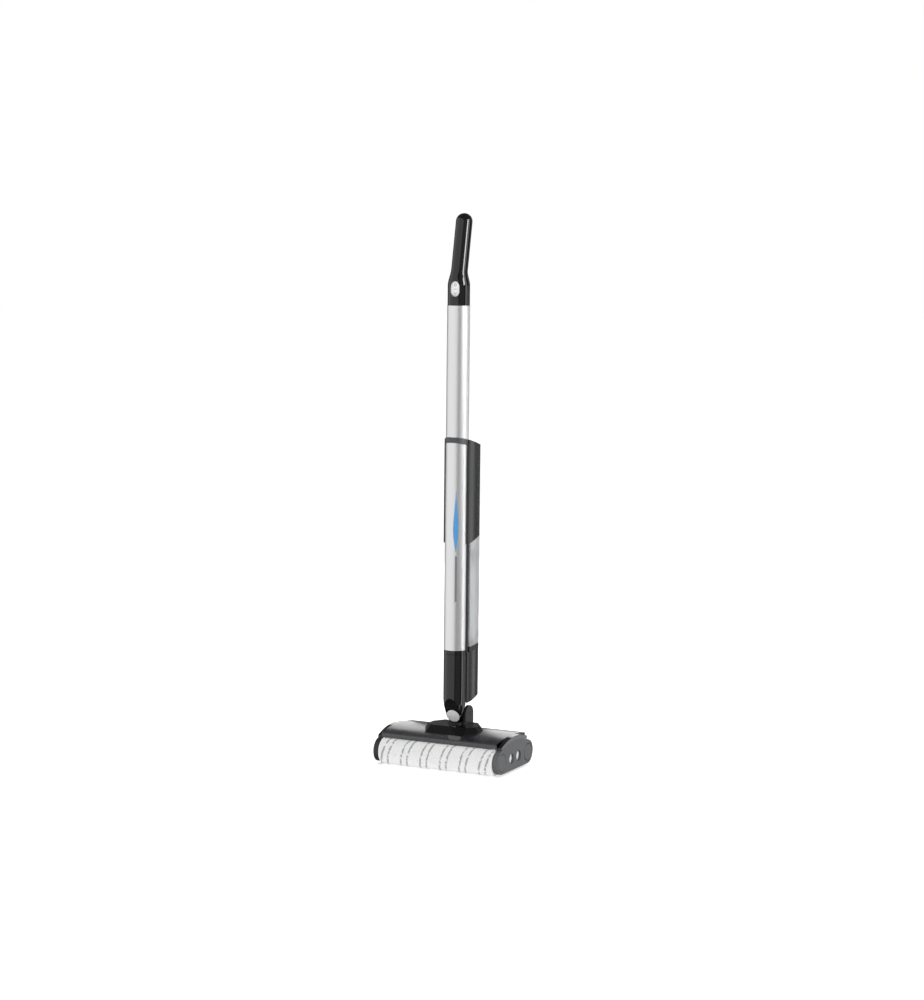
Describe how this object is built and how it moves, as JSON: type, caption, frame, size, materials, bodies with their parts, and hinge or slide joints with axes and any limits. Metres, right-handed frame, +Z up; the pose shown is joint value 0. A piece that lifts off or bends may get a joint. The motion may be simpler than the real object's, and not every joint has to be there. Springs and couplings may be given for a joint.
{
  "type": "wet dry floor scrubber",
  "caption": "Cordless upright floor washer: flat head with driven microfibre rollers, swivel neck, aluminium tube, rear battery box, clear water tank and grip with power button.",
  "frame": {"origin": "on the floor under the centre of the head", "axes": "+X to the side with the roller release buttons, +Y to the rear, +Z up along the upright stick"},
  "size_m": [0.299, 0.193, 1.2001],
  "materials": {
    "black_plastic": "moulded, fine texture",
    "black_gloss": "high gloss",
    "smoke_gloss": "high gloss smoke",
    "charcoal_gloss": "satin gloss",
    "dark_strip": "satin",
    "grey_plastic": "satin",
    "silver_plastic": "satin silver paint",
    "satin_aluminium": "satin anodised",
    "clear_tank": "translucent plastic",
    "microfibre": "short pile with grey stripes",
    "rubber": "matte",
    "steel": "plain",
    "dark_steel": "plain",
    "brass": "plain",
    "gear_plastic": "natural acetal",
    "cell_wrap": "shrink wrap",
    "board": "solder mask"
  },
  "bodies": {
    "head": {"chassis": "black_plastic", "hood": "smoke_gloss", "hood_rims": "black_gloss", "front_trim": "dark_strip", "rear_trim": "dark_strip", "pedestal": "black_gloss", "hinge_yoke": "black_plastic", "pitch_pin": "dark_steel", "left_end_plate": "black_plastic", "right_end_plate": "grey_plastic", "gearbox_plate": "black_plastic", "idler_axles": "steel", "drive_motor": "steel", "motor_bracket": "black_plastic", "front_scraper": "rubber", "rear_scraper": "rubber", "spray_bar": "black_plastic", "pan_screws": "steel", "front_release_spring": "steel", "rear_release_spring": "steel"},
    "front_roller": {"front_roller_core": "black_plastic", "front_roller_sleeve": "microfibre", "front_roller_gear": "gear_plastic"},
    "rear_roller": {"rear_roller_core": "black_plastic", "rear_roller_sleeve": "microfibre", "rear_roller_gear": "gear_plastic"},
    "front_outer_idler": {"front_outer_idler": "gear_plastic"},
    "front_inner_idler": {"front_inner_idler": "gear_plastic"},
    "rear_inner_idler": {"rear_inner_idler": "gear_plastic"},
    "rear_outer_idler": {"rear_outer_idler": "gear_plastic"},
    "pinion": {"motor_pinion": "brass", "motor_shaft": "steel"},
    "front_cap": {"front_bearing_cap": "grey_plastic"},
    "rear_cap": {"rear_bearing_cap": "grey_plastic"},
    "front_release": {"front_release_button": "silver_plastic"},
    "rear_release": {"rear_release_button": "silver_plastic"},
    "link": {"swivel_link": "black_plastic", "roll_pin": "steel"},
    "stick": {"neck_front": "black_gloss", "neck_rear": "charcoal_gloss", "pivot_cap": "silver_plastic", "main_tube": "satin_aluminium", "collar_ring": "dark_strip", "battery_housing": "charcoal_gloss", "battery_cells": "cell_wrap", "cell_holder": "black_plastic", "control_board": "board", "spine_rail": "black_plastic", "water_pump": "black_plastic", "pump_hose": "rubber", "handle_front": "black_gloss", "handle_rear": "black_gloss", "micro_switch": "black_plastic", "charging_socket": "black_plastic", "power_button_spring": "steel"},
    "power_button": {"power_button": "silver_plastic"},
    "tank": {"tank_shell": "clear_tank", "tank_base": "black_plastic"},
    "fill_plug": {"fill_plug": "rubber"},
    "tank_latch": {"tank_latch": "black_plastic"}
  },
  "joints": [
    {"name": "pitch", "type": "hinge", "parent": "head", "child": "link", "pos_m": [0, 0.038, 0.106], "axis": [-1, 0, 0], "range_deg": [0, 60]},
    {"name": "roll", "type": "hinge", "parent": "link", "child": "stick", "pos_m": [0, -0.002, 0.1076], "axis": [0, 0.9063, 0.4226], "range_deg": [-30, 30]},
    {"name": "front_roller_spin", "type": "hinge", "parent": "head", "child": "front_roller", "pos_m": [-0.144, -0.0665, 0.03], "axis": [1, 0, 0], "continuous": true},
    {"name": "rear_roller_spin", "type": "hinge", "parent": "head", "child": "rear_roller", "pos_m": [-0.144, 0.0665, 0.03], "axis": [1, 0, 0], "continuous": true},
    {"name": "front_outer_idler_spin", "type": "hinge", "parent": "head", "child": "front_outer_idler", "pos_m": [-0.144, -0.03454, 0.03823], "axis": [1, 0, 0], "continuous": true},
    {"name": "front_inner_idler_spin", "type": "hinge", "parent": "head", "child": "front_inner_idler", "pos_m": [-0.144, -0.012, 0.03], "axis": [1, 0, 0], "continuous": true},
    {"name": "rear_inner_idler_spin", "type": "hinge", "parent": "head", "child": "rear_inner_idler", "pos_m": [-0.144, 0.012, 0.03], "axis": [1, 0, 0], "continuous": true},
    {"name": "rear_outer_idler_spin", "type": "hinge", "parent": "head", "child": "rear_outer_idler", "pos_m": [-0.144, 0.03454, 0.03823], "axis": [1, 0, 0], "continuous": true},
    {"name": "pinion_spin", "type": "hinge", "parent": "head", "child": "pinion", "pos_m": [-0.144, -0.012, 0.0495], "axis": [1, 0, 0], "continuous": true},
    {"name": "front_cap_slide", "type": "slide", "parent": "head", "child": "front_cap", "axis": [1, 0, 0], "range_m": [0, 0.014]},
    {"name": "rear_cap_slide", "type": "slide", "parent": "head", "child": "rear_cap", "axis": [1, 0, 0], "range_m": [0, 0.014]},
    {"name": "front_release_press", "type": "slide", "parent": "head", "child": "front_release", "axis": [-1, 0, 0], "range_m": [0, 0.0025], "stiffness_N_per_m": 600, "springref_m": -0.001, "deforming": ["front_release_spring"]},
    {"name": "rear_release_press", "type": "slide", "parent": "head", "child": "rear_release", "axis": [-1, 0, 0], "range_m": [0, 0.0025], "stiffness_N_per_m": 600, "springref_m": -0.001, "deforming": ["rear_release_spring"]},
    {"name": "power_press", "type": "slide", "parent": "stick", "child": "power_button", "axis": [0, 1, 0], "range_m": [0, 0.0012], "stiffness_N_per_m": 900, "springref_m": -0.001, "deforming": ["power_button_spring"]},
    {"name": "tank_slide", "type": "slide", "parent": "stick", "child": "tank", "axis": [0, 0.9976, 0.0698], "range_m": [0, 0.07]},
    {"name": "fill_plug_hinge", "type": "hinge", "parent": "tank", "child": "fill_plug", "pos_m": [0, 0.0872, 0.4385], "axis": [-1, 0, 0], "range_deg": [0, 95]},
    {"name": "tank_latch_press", "type": "slide", "parent": "stick", "child": "tank_latch", "axis": [0, -1, 0], "range_m": [0, 0.0018], "stiffness_N_per_m": 800, "springref_m": -0.001}
  ],
  "couplings": [
    {"joint": "rear_roller_spin", "follows": "front_roller_spin", "ratio": -1},
    {"joint": "front_outer_idler_spin", "follows": "front_roller_spin", "ratio": -1.75},
    {"joint": "front_inner_idler_spin", "follows": "front_roller_spin", "ratio": 1.75},
    {"joint": "rear_inner_idler_spin", "follows": "front_roller_spin", "ratio": -1.75},
    {"joint": "rear_outer_idler_spin", "follows": "front_roller_spin", "ratio": 1.75},
    {"joint": "pinion_spin", "follows": "front_roller_spin", "ratio": -2.8}
  ]
}
